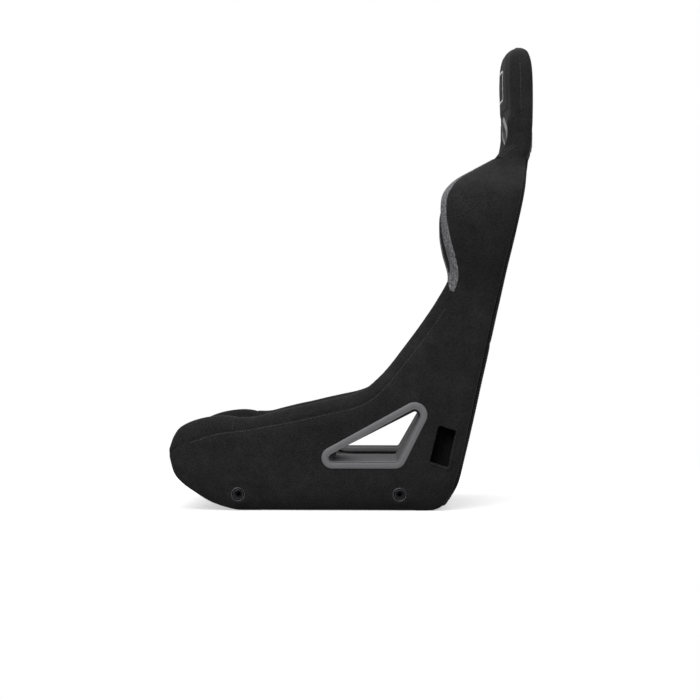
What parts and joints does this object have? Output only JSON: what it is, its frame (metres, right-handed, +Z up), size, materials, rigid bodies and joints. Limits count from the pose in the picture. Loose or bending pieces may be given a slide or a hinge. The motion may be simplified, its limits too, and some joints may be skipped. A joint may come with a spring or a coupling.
{
  "type": "racing seat",
  "caption": "Fixed-back bucket racing seat with a tube frame, fabric-covered foam bolsters, integral headrest and moulded harness slots.",
  "frame": {"origin": "on the floor under the middle of the seat's overall box", "axes": "+Z up, -Y to the front of the seat, +X to the occupant's left"},
  "size_m": [0.5374, 0.6595, 0.861],
  "materials": {
    "cover_fabric": "knitted",
    "mesh_fabric": "spacer mesh",
    "bezel_plastic": "fine grain",
    "frame_steel": "satin black",
    "eyelet_metal": "plated",
    "webbing": "woven elastic"
  },
  "bodies": {
    "root": {"side_tube_left": "frame_steel", "side_tube_right": "frame_steel", "front_cross_tube": "frame_steel", "rear_cross_tube": "frame_steel", "lumbar_cross_tube": "frame_steel", "shoulder_cross_tube": "frame_steel", "headrest_hoop": "frame_steel", "thigh_hoop_left": "frame_steel", "thigh_hoop_right": "frame_steel", "wing_hoop_left": "frame_steel", "wing_hoop_right": "frame_steel", "mount_bosses_left": "frame_steel", "mount_bosses_right": "frame_steel", "mount_eyelets_left": "eyelet_metal", "mount_eyelets_right": "eyelet_metal", "seat_straps": "webbing", "back_straps": "webbing", "seat_cushion": "cover_fabric", "back_cushion": "cover_fabric", "side_bolster_left": "cover_fabric", "side_bolster_right": "cover_fabric", "headrest_body": "cover_fabric", "headrest_pad": "cover_fabric", "back_panel": "cover_fabric", "under_panel": "cover_fabric", "wing_accent_left": "mesh_fabric", "wing_accent_right": "mesh_fabric", "lap_bezel_outer_left": "bezel_plastic", "lap_bezel_outer_right": "bezel_plastic", "lap_bezel_inner_left": "bezel_plastic", "lap_bezel_inner_right": "bezel_plastic", "shoulder_bezel_front_left": "bezel_plastic", "shoulder_bezel_front_right": "bezel_plastic", "shoulder_bezel_rear_left": "bezel_plastic", "shoulder_bezel_rear_right": "bezel_plastic", "rear_slot_welt_left": "cover_fabric", "rear_slot_welt_right": "cover_fabric", "crotch_bezel_top": "bezel_plastic", "crotch_bezel_bottom": "bezel_plastic"}
  },
  "joints": []
}
